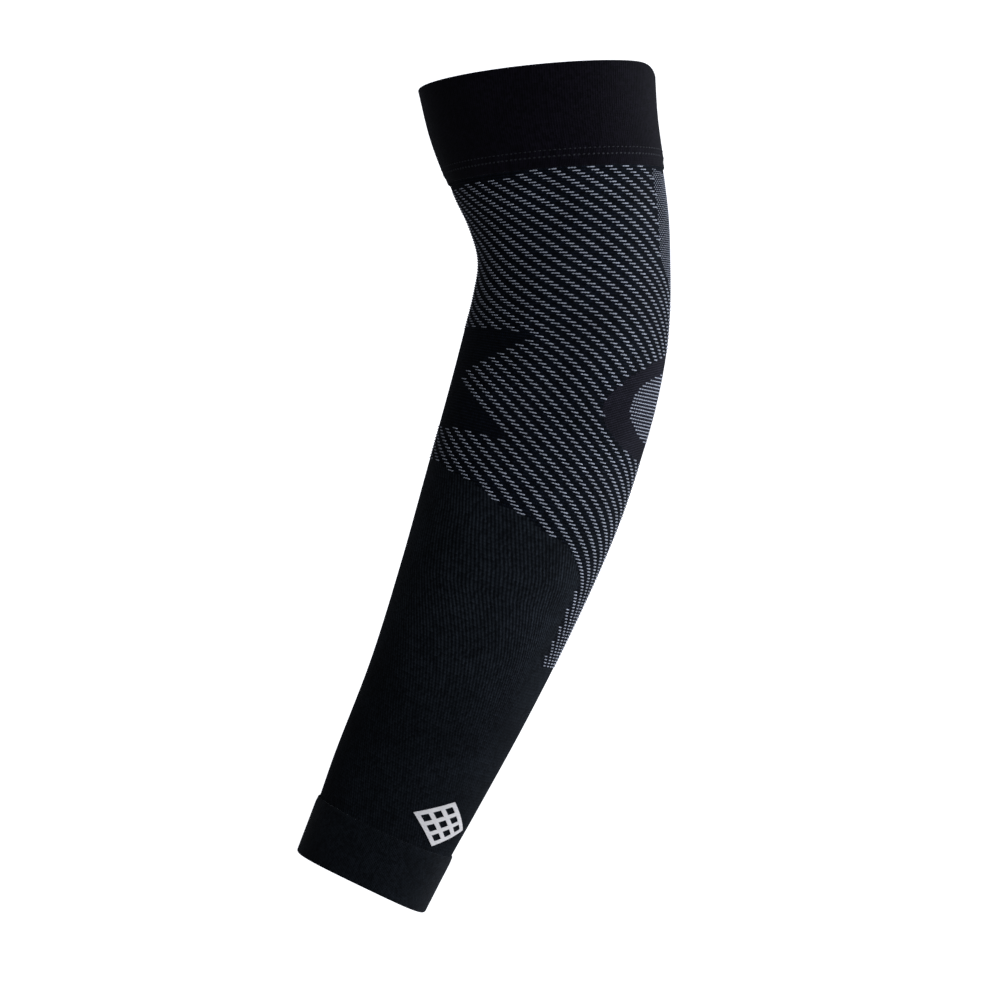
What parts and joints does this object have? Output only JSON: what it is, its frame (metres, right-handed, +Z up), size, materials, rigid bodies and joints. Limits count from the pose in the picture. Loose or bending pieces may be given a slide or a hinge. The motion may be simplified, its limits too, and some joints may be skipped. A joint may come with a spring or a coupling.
{
  "type": "arm compression sleeve",
  "caption": "Tapering knitted tube, gently bent at the elbow and open at both ends, with a wide turned band at the upper arm and a narrower one at the wrist.",
  "frame": {"origin": "centre of the upper opening, level with its rim, where the upper arm goes in", "axes": "+Z up along the upper arm and out of the upper opening; +X towards the back of the arm and the elbow; the forearm hangs down and forwards towards -X; the arm bends in the plane y = 0"},
  "size_m": [0.1678, 0.092, 0.3793],
  "materials": {
    "band_knit": "matt black fine rib knit of nylon and elastane, double layer",
    "sleeve_knit": "matt black fine knit of nylon and elastane with light grey yarn dashes",
    "silver_transfer": "silver grey heat-transfer film"
  },
  "bodies": {
    "root": {"upper_band": "band_knit", "sleeve_body": "sleeve_knit", "wrist_band": "band_knit", "wrist_print": "silver_transfer"}
  },
  "joints": []
}
